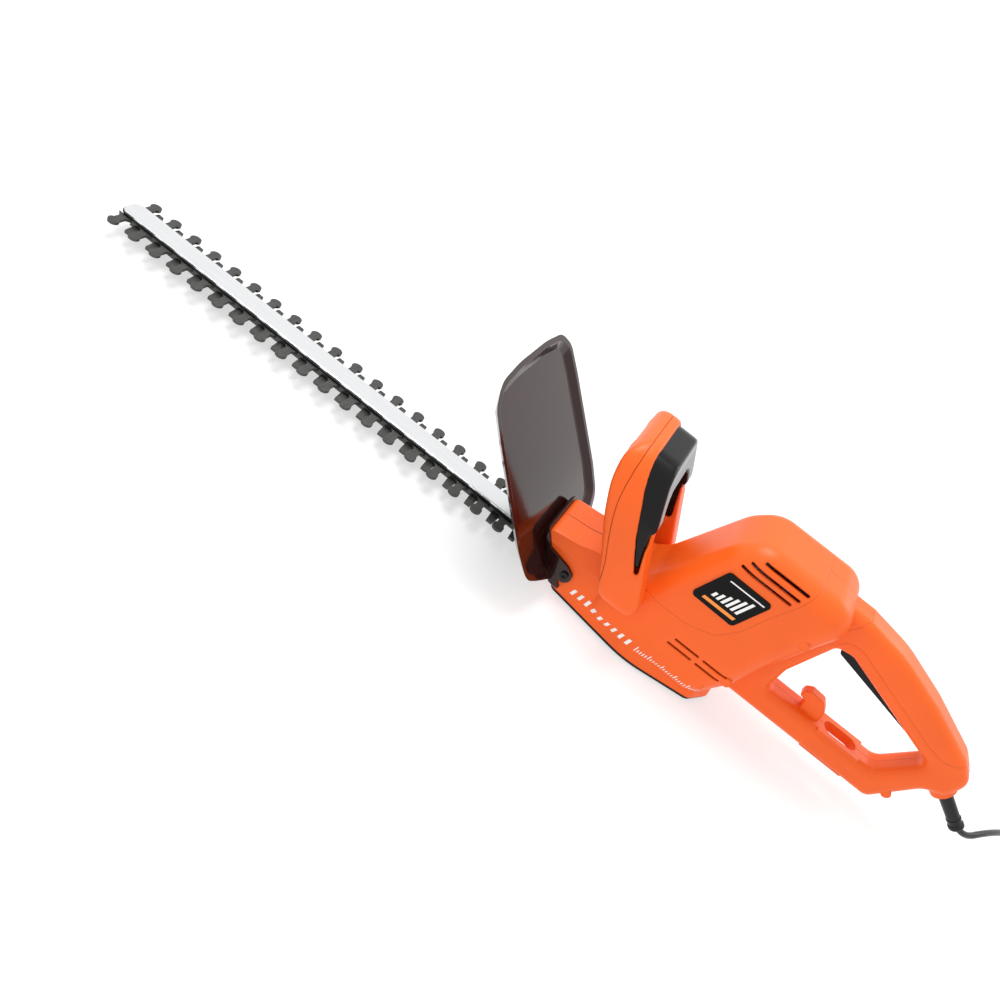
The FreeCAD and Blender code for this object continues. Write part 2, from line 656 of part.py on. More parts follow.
CORD_DIR = V(0.84, 0, -0.5426)
CORD_OUT = V(846, 0, 57)


def along(distance, y=0.0):
    p = CORD_OUT + CORD_DIR * distance
    return (p.x, p.y + y, p.z)


def vent_cuts():
    cuts = []
    for x0, z0 in ((599, 28.5), (602, 35.5), (627, 28.5), (630, 35.5)):
        cuts.append(side_slab([(x0, z0 - 1.1, 0.9), (x0 + 24, z0 - 1.1, 0.9), (x0 + 24, z0 + 1.1, 0.9),
                               (x0, z0 + 1.1, 0.9)], -60, 60))
    return cuts


def casing():
    outer = casing_solid(0.0)
    hollow = casing_solid(WALL)
    hook, web = retainer()
    shell = outer.cut(hollow)
    exit_boss = rod(11, along(-12), along(5))
    shell = shell.fuse([hook, web, exit_boss])
    posts = [rod(4.2, (x, -half + 1, z), (x, half - 1, z)) for x, z, half in screw_posts()]
    seat = [rod(4.6, (TRIGGER_PIN[0], -14.5, TRIGGER_PIN[1]), (TRIGGER_PIN[0], 14.5, TRIGGER_PIN[1]))]
    shell = shell.fuse(posts + seat)
    cuts = [retainer_cut(), rod(6.2, along(-13), along(6)), rod(8.7, along(-13), along(-7))]
    cuts += [rod(1.7, (x, -half + 4, z), (x, half + 1, z)) for x, z, half in screw_posts()]
    cuts += [rod(3.5, (x, half - 5, z), (x, half + 1, z)) for x, z, half in screw_posts()]
    cuts.append(box(TRIGGER_PIN[0] - 8, TRIGGER_PIN[0] + 8, -7, 7, TRIGGER_PIN[1] - 6, TRIGGER_PIN[1] + 7))
    cuts.append(rod(2.05, (TRIGGER_PIN[0], -12.5, TRIGGER_PIN[1]), (TRIGGER_PIN[0], 12.5, TRIGGER_PIN[1])))
    # slot for the trigger, mouth for the blades, room for the gear plate foot
    cuts.append(side_slab([(706, 90, 1), (808, 66, 1), (820, 84, 1), (708, 121, 1)], -6.6, 6.6))
    cuts.append(box(440, 512, -20.5, 20.5, -12, 8.4))
    cuts.append(rod(12.5, (GEAR_X, 0, -12), (GEAR_X, 0, -6)))
    cuts += [rod(1.9, (x, y, -12), (x, y, -4)) for x, y in BASE_SCREWS]
    cuts += vent_cuts()
    bosses = []
    for x, y in BASE_SCREWS:
        bosses.append(rod(4, (x, y, -9), (x, y, -3)).cut(rod(1.8, (x, y, -12), (x, y, 0))))
    ledges = [box(640, 646, side * 38.2 - 2.2, side * 38.2 + 2.2, 10, 14.9) for side in (-1, 1)]
    ledges += [box(600, 626, side * 38.2 - 2.2, side * 38.2 + 2.2, 10, 14.9) for side in (-1, 1)]
    shell = shell.cut(cuts).fuse(bosses + ledges)
    return shell.cut(bail_solid())


def louvre_cuts():
    cuts = []
    for x0, x1, z in ((599, 646, 126), (603, 649, 132.5), (611, 652, 139)):
        wing = side_slab([(x0, z - 1.4, 1.2), (x1, z - 1.4, 1.2), (x1, z + 1.4, 1.2), (x0, z + 1.4, 1.2)], 28, 60)
        other = side_slab([(x0, z - 1.4, 1.2), (x1, z - 1.4, 1.2), (x1, z + 1.4, 1.2), (x0, z + 1.4, 1.2)], -60, -28)
        cuts += [wing, other]
    return cuts


# Trigger in the rear grip
TRIGGER_PIN = (808.0, 82.0)
TRIGGER_SIDE = [(709, 98, 3), (804, 75.2, 2), (812, 78, 2.5), (812, 86.2, 3), (804, 86.4, 3), (714, 112.5, 2),
                (708, 104, 3)]


def rear_trigger():
    lever = side_slab(TRIGGER_SIDE, -6, 6)
    lower = [e for e in lever.Edges if abs(abs(e.CenterOfMass.y) - 6) < 1e-3 and e.CenterOfMass.z < 99
             and e.Length > 20]
    lever = lever.makeFillet(1.6, lower)
    room = side_slab([(718, 104.5, 1), (800, 80.5, 1), (800, 92, 1), (718, 116, 1)], -4, 4)
    pad = box(733.5, 736.5, -4, 4, 98, 106.6)
    lever = lever.cut(room).fuse(pad.common(side_slab(TRIGGER_SIDE, -6, 6)))
    switch_room = side_slab([(717.2, 106.6, 0.4), (738, 108.1, 0.4), (738, 122, 0.4), (717.2, 122, 0.4)], -8, 8)
    lever = lever.cut(switch_room)
    return lever.cut(rod(2.03, (TRIGGER_PIN[0], -9, TRIGGER_PIN[1]), (TRIGGER_PIN[0], 9, TRIGGER_PIN[1])))


def switch_case(x0, x1, half, z0, z1, stem):
    case = box(x0, x1, -half, half, z0, z1)
    case = case.makeFillet(0.8, [e for e in case.Edges if abs(e.Length - 2 * half) > 0.1])
    return case.cut(stem)


# Free lead, corner points of the route
CORD_ROUTE = [along(-22), along(50), (920, 34, 26), (952, 72, 14), (994, 106, -4), (1044, 118, -9),
              (1092, 96, -6)]


def cord():
    points = [V(*p) for p in CORD_ROUTE]
    edges = []
    at = points[0]
    for i in range(1, len(points) - 1):
        a = points[i - 1] - points[i]
        b = points[i + 1] - points[i]
        short = min(a.Length, b.Length)
        turn = math.pi - a.getAngle(b)
        radius = 0.45 * short / math.tan(turn / 2)
        ua = V(a).normalize()
        ub = V(b).normalize()
        start = points[i] + ua * (0.45 * short)
        end = points[i] + ub * (0.45 * short)
        bis = (ua + ub).normalize()
        centre = points[i] + bis * (radius / math.cos(turn / 2))
        middle = centre - bis * radius
        edges.append(Part.LineSegment(at, start).toShape())
        edges.append(Part.Arc(start, middle, end).toShape())
        at = end
        print("cord corner", i, "turn", round(math.degrees(turn), 1), "radius", round(radius, 1))
    edges.append(Part.LineSegment(at, points[-1]).toShape())
    path = Part.Wire(edges)
    tangent = (points[1] - points[0]).normalize()
    ring = Part.Wire(Part.makeCircle(CORD_R, points[0], tangent))
    lead = path.makePipeShell([ring], True, True)
    print("cord length", round(path.Length, 1), "volume", round(lead.Volume),
          "section x length", round(math.pi * CORD_R ** 2 * path.Length))
    return lead


def placed_on_cord_end(shape):
    a = V(*CORD_ROUTE[-2])
    b = V(*CORD_ROUTE[-1])
    d = (b - a).normalize()
    turn = math.degrees(math.atan2(d.y, d.x))
    dip = math.degrees(math.asin(d.z))
    shape.rotate(V(0, 0, 0), V(0, 1, 0), -dip)
    shape.rotate(V(0, 0, 0), V(0, 0, 1), turn)
    shape.translate(b)
    return shape


def plug_body():
    outline = [(-8, -5, 3), (6, -5.5, 6), (16, -13, 12), (34, -16.5, 6), (40, -16.5, 3), (40, 16.5, 3),
               (34, 16.5, 6), (16, 13, 12), (6, 5.5, 6), (-8, 5, 3)]
    body = plan_slab(outline, -7, 7)
    rim = [e for e in body.Edges if abs(abs(e.CenterOfMass.z) - 7) < 1e-3]
    body = body.makeFillet(2.4, rim)
    body = body.cut([rod(CORD_R, (-10, 0, 0), (0, 0, 0)), rod(1.6, (30, -9.3, 0), (42, -9.3, 0)),
                     rod(1.6, (30, 9.3, 0), (42, 9.3, 0))])
    return placed_on_cord_end(body)


def plug_pins():
    pins = []
    for y in (-9.3, 9.3):
        pin = rod(2.4, (40, y, 0), (59, y, 0))
        pin = pin.makeFillet(1.8, [e for e in pin.Edges if e.CenterOfMass.x > 58.9])
        pins.append(placed_on_cord_end(pin.fuse(rod(1.6, (30, y, 0), (41, y, 0)))))
    return Part.makeCompound(pins)


def boot():
    sleeve = cone(6.15, 5.5, along(-6.9), along(42)).fuse([rod(8.6, along(-11), along(-7.1)),
                                                           rod(6.15, along(-8), along(-6))])
    lip = rod(6.6, along(38), along(43))
    lip = lip.makeFillet(1.6, lip.Edges)
    ribs = [tube(6.15, 5.4, along(s), along(s + 1.2)) for s in (33.0,)]
    sleeve = sleeve.fuse([lip] + ribs)
    return sleeve.cut(rod(CORD_R, along(-12), along(45)))


def cord_clamp():
    bar = box(-3, 3, -12, 12, 2.9, 5.6).cut(rod(1.6, (0, -9.5, 0), (0, -9.5, 10)))
    bar = bar.cut(rod(1.6, (0, 9.5, 0), (0, 9.5, 10)))
    bar.rotate(V(0, 0, 0), V(0, 1, 0), math.degrees(math.atan2(0.5426, 0.84)))
    bar.translate(V(*along(-16)))
    return bar


def leads():
    wires = []
    for y in (-3.5, 3.5):
        route = [along(-23.4, y * 0.4), (806, y, 95), (750, y, 120)]
        other = [(722, y, 128), (694, y, 133), (666, y * 3, 134), (MOTOR_X + 6, y * 8.6, 112)]
        for path in (route, other):
            for i in range(len(path) - 1):
                wires.append(rod(1.1, path[i], path[i + 1]))
                if i > 0:
                    wires.append(Part.makeSphere(1.1, V(*path[i])))
    left = wires[0].fuse(wires[1:len(wires) // 2])
    right = wires[len(wires) // 2].fuse(wires[len(wires) // 2 + 1:])
    return Part.makeCompound(left.Solids + right.Solids)


def spring(radius, wire, turns, length, base, axis):
    helix = Part.makeHelix(length / turns, length, radius)
    path = Part.Wire(helix.Edges)
    start = path.Edges[0].valueAt(path.Edges[0].FirstParameter)
    tangent = path.Edges[0].tangentAt(path.Edges[0].FirstParameter)
    ring = Part.Wire(Part.makeCircle(wire, start, tangent))
    coil = path.makePipeShell([ring], True, True)
    turned = FreeCAD.Rotation(V(0, 0, 1), V(*axis))
    coil.Placement = FreeCAD.Placement(V(*base), turned)
    return coil


def casing_screws():
    screws = []
    for x, z, half in screw_posts():
        head = rod(3.2, (x, half - 5, z), (x, half - 3.1, z))
        head = head.cut(box(x - 0.5, x + 0.5, half - 4, half - 3, z - 2.6, z + 2.6))
        screws.append(head.fuse(rod(1.5, (x, half - 5, z), (x, -half + 6, z))))
    return Part.makeCompound(screws)


# Build and save every part
save("blade_bar", blade_bar())
save("upper_blade", upper_blade())
save("lower_blade", lower_blade())
save("bar_bolts", bar_bolts())
save("bar_screws", bar_screws())
save("gear_plate", gear_plate())
save("lower_bush", tube(8, 5.06, (GEAR_X, 0, -10.2), (GEAR_X, 0, -5.2)))
save("upper_bush", tube(8, 5.06, (GEAR_X, 0, 15), (GEAR_X, 0, 22.5)))
save("drive_gear", drive_gear())
save("eccentric_shaft", eccentric_shaft())
save("pinion", pinion())
save("armature_shaft", armature_shaft())
save("armature_core", armature_core())
save("armature_windings", armature_windings())
save("commutator", commutator())
save("fan", fan())
save("stator", stator())
save("field_coils", field_coils())
save("lower_bearing", ball_bearing(11, 4, 18.6, 25.6))
save("upper_bearing", ball_bearing(9.5, 4, 121.2, 128.2))
save("bearing_bracket", bearing_bracket())
save("brush_holders", brush_holders())
save("brushes", brushes())
save("brush_springs", brush_springs())
save("base_plate", base_plate())
save("base_screws", base_screws())
save("guard", guard())
save("guard_screws", guard_screws())

shell = casing()
cover_zone = side_slab(COVER_SIDE, -70, 70)
grip_zone = side_slab(GRIP_SIDE, -40, 40)
cover = shell.common(cover_zone)
grip = shell.common(grip_zone)
main = shell.cut([cover_zone, grip_zone])
cover = cover.cut(louvre_cuts())
save("motor_cover", cover)
save("grip_cover", grip)
save("casing_left", half_of(main, -1))
save("casing_right", half_of(main, 1))
save("casing_screws", casing_screws())

whole = bail_solid()
hollow = side_slab(inset(BAIL_SIDE, 2.8), -80, 80).common(
    front_slab(inset(BAIL_OUT, 2.8), 440, 600).cut(front_slab(inset(BAIL_IN, -2.8), 430, 610)))
bail = whole.cut(hollow)
front_zone = side_slab([(440, 0, 1), (527, 0, 1), (527, 46, 40), (503, 94, 60), (491, 128, 60), (486, 200, 1),
                        (440, 200, 1)], -90, 90)
seats = [rod(3.2, (477, y, 142), (497.8, y, 142)) for y in (-24, 24)]
nose_solid = nose_form(0, 6.0)
bail_front = bail.common(front_zone).fuse(seats)
bail_rear = bail.cut(front_zone)
bail_rear = bail_rear.cut(bail_layer(LIP_SIDE, -6, LIP_T + 4))
for room in bar_rooms():
    bail_front = bail_front.cut(room)
    bail_rear = bail_rear.cut(room)
save("bail_front", largest(bail_front.cut(nose_solid)))
save("bail_rear", largest(bail_rear.cut(nose_solid)))
save("switch_bar", switch_bar())

save("rear_trigger", rear_trigger())
save("trigger_pin", rod(2.0, (TRIGGER_PIN[0], -12.4, TRIGGER_PIN[1]), (TRIGGER_PIN[0], 12.4, TRIGGER_PIN[1])))
stem = box(730, 740, -2.6, 2.6, 113, 122)
save("rear_switch", switch_case(721, 751, 7.4, 114, 126, stem))
save("rear_plunger", box(730.4, 739.6, -2.2, 2.2, 107, 115.8))
save("trigger_spring", spring(2.8, 0.4, 6, 15.6, (745, 0, 97.9), (0, 0, 1)))
front_stem = box(485.2, 497, -2.6, 2.6, 139, 145.4)
save("front_switch", switch_case(482.4, 493.6, 10, 137.2, 147, front_stem))
save("front_plunger", box(490.0, 507.6, -2.2, 2.2, 139.4, 145.0))
front_springs = [spring(2.4, 0.4, 4, 9.2, (498.4, y, 142), (1, 0, 0)) for y in (-24, 24)]
save("switch_bar_springs", Part.makeCompound(front_springs))
save("capacitor", rod(6.5, (658.2, -11, 66), (658.2, 11, 66)))
save("lead_in", cord())
save("cord_boot", boot())
save("cord_clamp", cord_clamp())
save("plug_body", plug_body())
save("plug_pins", plug_pins())
save("internal_leads", leads())
for tag, y0, y1 in (("left", -42.7, -42.0), ("right", 42.0, 42.7)):
    corners = [(584, 80, 4), (626, 79, 4), (638, 116.5, 4), (596, 117, 4)]
    save("label_" + tag, side_slab(corners, y0, y1))
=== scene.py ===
# %% [markdown]
# # Electric hedge trimmer
# The imported model is the fixed frame: every part is already in its place, in metres, with +X towards
# the rear handle, the blade tip at -X and +Z up. A scene built on it never has to guess a size, so the
# first cell only loads it and keeps its box.

# %% Load the model
import json
import math
import bmesh
import bpy
from mathutils import Euler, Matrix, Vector
from mathutils.bvhtree import BVHTree


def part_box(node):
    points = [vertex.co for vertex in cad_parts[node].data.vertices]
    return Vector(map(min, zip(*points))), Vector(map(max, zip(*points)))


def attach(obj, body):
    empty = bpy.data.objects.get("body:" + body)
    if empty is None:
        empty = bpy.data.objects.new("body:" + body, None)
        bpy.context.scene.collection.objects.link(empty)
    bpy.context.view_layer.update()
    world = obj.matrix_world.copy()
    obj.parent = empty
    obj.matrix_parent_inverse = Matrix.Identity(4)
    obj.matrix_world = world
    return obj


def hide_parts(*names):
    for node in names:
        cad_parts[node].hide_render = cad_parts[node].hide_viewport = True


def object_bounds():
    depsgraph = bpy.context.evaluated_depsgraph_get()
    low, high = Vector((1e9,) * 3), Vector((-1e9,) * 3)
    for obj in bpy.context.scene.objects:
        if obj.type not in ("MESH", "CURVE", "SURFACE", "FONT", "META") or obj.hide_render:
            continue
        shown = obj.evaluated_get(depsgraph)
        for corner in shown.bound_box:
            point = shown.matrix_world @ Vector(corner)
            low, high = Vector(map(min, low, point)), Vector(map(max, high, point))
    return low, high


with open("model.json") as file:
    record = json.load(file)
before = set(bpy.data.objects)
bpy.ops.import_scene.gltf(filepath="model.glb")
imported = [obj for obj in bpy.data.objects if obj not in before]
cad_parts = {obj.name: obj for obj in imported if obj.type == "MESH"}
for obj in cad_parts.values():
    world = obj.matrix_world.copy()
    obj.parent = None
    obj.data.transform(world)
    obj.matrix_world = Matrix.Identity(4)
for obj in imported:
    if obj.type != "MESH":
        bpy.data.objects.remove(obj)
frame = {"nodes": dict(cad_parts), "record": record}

cad_low, cad_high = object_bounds()
nodes = frame["nodes"]
MM = 0.001

# %% [markdown]
# ## The view
# A product view of a long tool is taken from above and to one side, with the camera rolled so that the
# tool lies across the diagonal. One way is to aim a camera with a tracking constraint; the roll is then
# hard to hold. Here the camera gets a place and three plain turn angles, so the view never drifts.

# %% Camera
CAMERA_PLACE = Vector((0.0364, -0.7060, 0.5251))
CAMERA_TURN = (48.63, -28.44, 27.35)

camera_data = bpy.data.cameras.new("camera")
camera_data.lens = 36
camera_data.sensor_width = 36
camera_data.clip_end = 200
camera = bpy.data.objects.new("camera", camera_data)
camera.location = CAMERA_PLACE
camera.rotation_euler = Euler([math.radians(a) for a in CAMERA_TURN], "XYZ")
bpy.context.scene.collection.objects.link(camera)
bpy.context.scene.camera = camera
print("camera", round((CAMERA_PLACE - (cad_low + cad_high) / 2).length, 3), "m from the middle")

# %% [markdown]
# ## The lead
# A short rubber lead leaves the back of the rear handle, drops to the floor and turns aside to its plug.
# It could be a row of cylinders, but a lead is one smooth line. A NURBS curve of order 3 with a round
# bevel gives that line from a handful of points. The order is set after the points are added.

# %% Lead
LEAD_RADIUS = 2.8 * MM
ROW_SHIFT = Vector((-438.3, 0.0, 14.0))
EXIT_POINT = Vector((846.0, 0.0, 57.0))
EXIT_DIRECTION = Vector((0.84, 0.0, -0.5426)).normalized()
LEAD_START = 37.0  # where the lead leaves the rubber boot, measured down the exit direction
STRAIGHT_END = 54.0


def place(x, y, z):
    """A point given in millimetres from the first tooth, moved into the row frame."""
    return (Vector((x, y, z)) + ROW_SHIFT) * MM


def down_the_lead(distance):
    """A point on the line that the lead takes out of the handle, in millimetres."""
    return EXIT_POINT + EXIT_DIRECTION * distance


lead_route = [down_the_lead(LEAD_START), down_the_lead(STRAIGHT_END), (920, 34, 26), (952, 72, 14),
              (994, 106, -4), (1044, 118, -9), (1092, 96, -6)]

lead_curve = bpy.data.curves.new("power_lead", "CURVE")
lead_curve.dimensions = "3D"
lead_curve.bevel_depth = 1.0  # each point's own radius, in metres, gives the thickness
lead_curve.bevel_resolution = 6
lead_curve.resolution_u = 24
lead_spline = lead_curve.splines.new("NURBS")
lead_spline.points.add(len(lead_route) - 1)
for point, corner in zip(lead_spline.points, lead_route):
    point.co = (*place(*corner), 1.0)
    point.radius = LEAD_RADIUS
lead_spline.order_u = 3
lead_spline.use_endpoint_u = True
power_lead = bpy.data.objects.new("power_lead", lead_curve)
bpy.context.scene.collection.objects.link(power_lead)

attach(power_lead, "machine")
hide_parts("lead_in")

# %% [markdown]
# ## Floor and light
# The tool lies on a white sheet under broad, soft light. A sheet much larger than the view needs no
# edge, and a bright sky fills every shadow. The sheet glows a little, like a light table, so that the
# shadows under the blade stay faint. Two large lamps add the long soft gloss on the shells; they
# are wide, because a small lamp would give a hard spot on smooth plastic.

# %% Floor and lamps
FLOOR_HALF = 60.0
FLOOR_GAP = 0.5 * MM
SHEET_GREY = 0.42
SHEET_GLOW = 0.58
floor_mesh = bpy.data.meshes.new("floor")
sheet = bmesh.new()
corners = [sheet.verts.new((x, y, cad_low.z - FLOOR_GAP)) for x, y in
           ((-FLOOR_HALF, -FLOOR_HALF), (FLOOR_HALF, -FLOOR_HALF), (FLOOR_HALF, FLOOR_HALF),
            (-FLOOR_HALF, FLOOR_HALF))]
sheet.faces.new(corners)
sheet.to_mesh(floor_mesh)
sheet.free()
floor = bpy.data.objects.new("floor", floor_mesh)
bpy.context.scene.collection.objects.link(floor)

white_sheet = bpy.data.materials.new("white_sheet")
white_sheet.use_nodes = True
sheet_shader = white_sheet.node_tree.nodes["Principled BSDF"]
sheet_shader.inputs["Base Color"].default_value = (SHEET_GREY, SHEET_GREY, SHEET_GREY, 1)
sheet_shader.inputs["Emission Color"].default_value = (1.0, 1.0, 1.0, 1)
sheet_shader.inputs["Emission Strength"].default_value = SHEET_GLOW
sheet_shader.inputs["Roughness"].default_value = 0.9
floor_mesh.materials.append(white_sheet)

sky = bpy.data.worlds.new("soft_sky")
sky.use_nodes = True
sky.node_tree.nodes["Background"].inputs["Color"].default_value = (1.0, 1.0, 1.0, 1)
sky.node_tree.nodes["Background"].inputs["Strength"].default_value = 1.0
bpy.context.scene.world = sky
bpy.context.scene.view_settings.view_transform = "Standard"


def lamp(name, spot, aim, size, power):
    """A square soft lamp at spot that shines at aim, both in metres."""
    data = bpy.data.lights.new(name, "AREA")
    data.size = size
    data.energy = power
    item = bpy.data.objects.new(name, data)
    item.location = spot
    item.rotation_euler = (Vector(aim) - Vector(spot)).to_track_quat("-Z", "Y").to_euler()
    bpy.context.scene.collection.objects.link(item)


lamp("key_lamp", spot=(-0.5, 0.3, 1.7), aim=(0.1, 0.0, 0.05), size=0.9, power=20)
lamp("rear_lamp", spot=(1.3, 1.2, 1.2), aim=(0.2, 0.0, 0.1), size=0.9, power=8)
print("floor and", len(bpy.data.lights), "lamps")

# %% [markdown]
# ## A way to write finishes
# Every finish is a small tree of nodes. Most of them need the same start: a shader, the place on the
# object as texture space, and fine noise for the grain. A few short helpers keep each recipe readable.
# The grain works in metres, so its size is the real one. Roughness and bump come from the same noise,
# as they do on a real mould that was spark-eroded.

# %% Shader helpers
DARK_GREY = 0.3
LIGHT_GREY = 0.7


def new_finish(name):
    """An empty finish, and its node tree and shader."""
    finish = bpy.data.materials.new(name)
    finish.use_nodes = True
    return finish, finish.node_tree, finish.node_tree.nodes["Principled BSDF"]


def add_node(tree, kind, settings=None, **sockets):
    """A node of a kind, with its settings and the values of its named sockets."""
    node = tree.nodes.new(kind)
    for key, value in (settings or {}).items():
        setattr(node, key, value)
    for key, value in sockets.items():
        node.inputs[key.replace("_", " ")].default_value = value
    return node


def place_on_object(tree, stretch=(1, 1, 1)):
    """Object space, stretched where a grain runs one way."""
    spot = add_node(tree, "ShaderNodeTexCoord")
    mapping = add_node(tree, "ShaderNodeMapping")
    mapping.inputs["Scale"].default_value = stretch
    tree.links.new(spot.outputs["Object"], mapping.inputs["Vector"])
    return mapping.outputs["Vector"]


def noise(tree, vector, per_metre, detail=3.0):
    """Grey noise with so many patches in a metre."""
    texture = add_node(tree, "ShaderNodeTexNoise", Scale=per_metre, Detail=detail)
    tree.links.new(vector, texture.inputs["Vector"])
    return texture.outputs["Fac"]


def spread_over(tree, source, low, high):
    """Maps the middle greys of a texture onto a range of values."""
    scale = add_node(tree, "ShaderNodeMapRange")
    scale.inputs["From Min"].default_value = DARK_GREY
    scale.inputs["From Max"].default_value = LIGHT_GREY
    scale.inputs["To Min"].default_value = low
    scale.inputs["To Max"].default_value = high
    tree.links.new(source, scale.inputs["Value"])
    return scale.outputs["Result"]


def two_tone(tree, source, dark, light):
    """Turns the middle greys of a texture into the colours between dark and light."""
    ramp = add_node(tree, "ShaderNodeValToRGB")
    ramp.color_ramp.elements[0].position = DARK_GREY
    ramp.color_ramp.elements[0].color = (*dark, 1)
    ramp.color_ramp.elements[1].position = LIGHT_GREY
    ramp.color_ramp.elements[1].color = (*light, 1)
    tree.links.new(source, ramp.inputs["Fac"])
    return ramp.outputs["Color"]


def grain_bump(tree, shader, height, depth, edge_radius):
    """Fine relief, over edges that are eased by edge_radius metres."""
    bump = add_node(tree, "ShaderNodeBump", Distance=depth, Strength=1.0)
    tree.links.new(height, bump.inputs["Height"])
    easing = add_node(tree, "ShaderNodeBevel", {"samples": 6}, Radius=edge_radius)
    tree.links.new(easing.outputs["Normal"], bump.inputs["Normal"])
    tree.links.new(bump.outputs["Normal"], shader.inputs["Normal"])


def scaled(colour, share):
    """A colour made lighter or darker, and never brighter than white."""
    return tuple(min(1.0, c * share) for c in colour)


def moulded_plastic(name, colour, roughness, gloss=0.5, grain=2600, depth=0.00002, ease=0.0006):
    """Injection-moulded plastic with a spark-eroded grain and slight colour flow."""
    finish, tree, shader = new_finish(name)
    spot = place_on_object(tree)
    flow = noise(tree, spot, 14, 2.0)
    tree.links.new(two_tone(tree, flow, scaled(colour, 0.94), scaled(colour, 1.04)),
                   shader.inputs["Base Color"])
    fine = noise(tree, spot, grain, 2.0)
    tree.links.new(spread_over(tree, fine, roughness * 0.88, roughness * 1.12), shader.inputs["Roughness"])
    shader.inputs["Specular IOR Level"].default_value = gloss
    grain_bump(tree, shader, fine, depth, ease)
    return finish


def worked_metal(name, colour, roughness, stretch=(1, 1, 1), grain=900, depth=0.00001, ease=0.0003,
                 spread=0.12):
    """Metal with tool marks that run along the axis with the small stretch."""
    finish, tree, shader = new_finish(name)
    spot = place_on_object(tree, stretch)
    marks = noise(tree, spot, grain, 4.0)
    tree.links.new(two_tone(tree, marks, scaled(colour, 1 - spread), scaled(colour, 1 + spread)),
                   shader.inputs["Base Color"])
    tree.links.new(spread_over(tree, marks, roughness * 0.7, roughness * 1.3), shader.inputs["Roughness"])
    shader.inputs["Metallic"].default_value = 1.0
    grain_bump(tree, shader, marks, depth, ease)
    return finish


print("helpers ready")

# %% [markdown]
# ## The finishes
# The shells are satin orange nylon; the guard is a dark smoked plastic with a wet gloss; the blade bar is
# polished aluminium, brushed along its length; the blades are ground and darkened steel. The hidden
# machine parts have their own metals and mouldings, because the shells can come off.

# %% Finishes for each slot of the record
ORANGE = (0.88, 0.120, 0.010)
finishes = {
    "orange_shell": moulded_plastic("orange_nylon", ORANGE, 0.38, gloss=0.3, depth=0.000012, ease=0.0016),
    "black_cap": moulded_plastic("black_nylon", (0.006, 0.006, 0.0065), 0.42, gloss=0.2),
    "black_gloss": moulded_plastic("gloss_black", (0.004, 0.004, 0.0045), 0.22, gloss=0.22, grain=900,
                                   depth=0.000004, ease=0.0008),
    "smoked_guard": moulded_plastic("smoked_plastic", (0.020, 0.004, 0.003), 0.09, gloss=0.42, grain=500,
                                    depth=0.000003),
    "bar_alloy": worked_metal("brushed_aluminium", (0.84, 0.85, 0.86), 0.2, stretch=(0.02, 1, 1), grain=1100,
                              depth=0.000001, ease=0.0008, spread=0.025),
    "blade_steel": worked_metal("ground_blade_steel", (0.085, 0.085, 0.082), 0.42, stretch=(1, 0.05, 1),
                                grain=1500, depth=0.000012, ease=0.0002, spread=0.2),
    "zinc_steel": worked_metal("zinc_plate", (0.55, 0.55, 0.54), 0.32),
    "gear_steel": worked_metal("gear_steel", (0.38, 0.37, 0.36), 0.3),
    "cast_alloy": worked_metal("die_cast_alloy", (0.50, 0.51, 0.52), 0.5, grain=700, depth=0.00006),
    "bronze": worked_metal("sintered_bronze", (0.50, 0.33, 0.14), 0.45, grain=2500, depth=0.00003),
    "copper": worked_metal("enamelled_copper", (0.62, 0.22, 0.08), 0.28, stretch=(1, 1, 0.1), grain=1800,
                           depth=0.00004),
    "lamination": worked_metal("stacked_laminations", (0.24, 0.24, 0.25), 0.45, stretch=(0.02, 0.02, 1),
                               grain=1600, depth=0.00006),
    "carbon": moulded_plastic("pressed_carbon", (0.018, 0.018, 0.018), 0.6),
    "brass_metal": worked_metal("drawn_brass", (0.75, 0.52, 0.20), 0.25, stretch=(0.1, 1, 1)),
    "switch_plastic": moulded_plastic("phenolic", (0.02, 0.02, 0.022), 0.5),
    "fan_plastic": moulded_plastic("glass_filled_nylon", (0.035, 0.035, 0.038), 0.5),
    "cord_rubber": moulded_plastic("lead_sheath", (0.005, 0.005, 0.006), 0.28, gloss=0.25, grain=1400,
                                   depth=0.00001),
    "boot_rubber": moulded_plastic("boot_rubber", (0.006, 0.006, 0.007), 0.3, gloss=0.3, grain=1400,
                                   depth=0.00001),
    "lead_plastic": moulded_plastic("wire_insulation", (0.03, 0.09, 0.42), 0.35),
    "label_print": moulded_plastic("label_film", (0.003, 0.003, 0.003), 0.3, gloss=0.12, grain=800,
                                   depth=0.000002, ease=0.0002),
    "cap_can": moulded_plastic("dipped_capacitor", (0.55, 0.36, 0.03), 0.3),
    "spring_steel": worked_metal("spring_wire", (0.40, 0.40, 0.41), 0.3),
}
slot_of = {part["node"]: part["material_slot"] for part in frame["record"]["subparts"]}
for name, part in nodes.items():
    part.data.materials.clear()
    part.data.materials.append(finishes[slot_of[name]])
nodes["guard_screws"].data.materials[0] = worked_metal("blackened_screw", (0.03, 0.03, 0.03), 0.4)
lead_curve.materials.append(finishes["cord_rubber"])
print(len(finishes), "finishes on", len(nodes), "parts")

# %% [markdown]
# ## Softer edges on the front handle
# The front handle is a chunky loop that a hand wraps round, so its real edges are rounded by several
# millimetres. A bevel would trip over the many thin triangles of a CAD mesh. A voxel remesh gives even
# faces first, and a smooth modifier then rolls every edge over by about the same amount. Rolled one by
# one, the two shells would part along their joint, so they are rolled as one skin and cut apart after.

# %% Roll the edges of the whole loop
HANDLE_VOXEL = 0.8 * MM
HANDLE_PASSES = 110
HANDLE_SWELL = 0.8 * MM
SWITCH_BAR_PASSES = 50
SWITCH_BAR_SWELL = 0.4 * MM


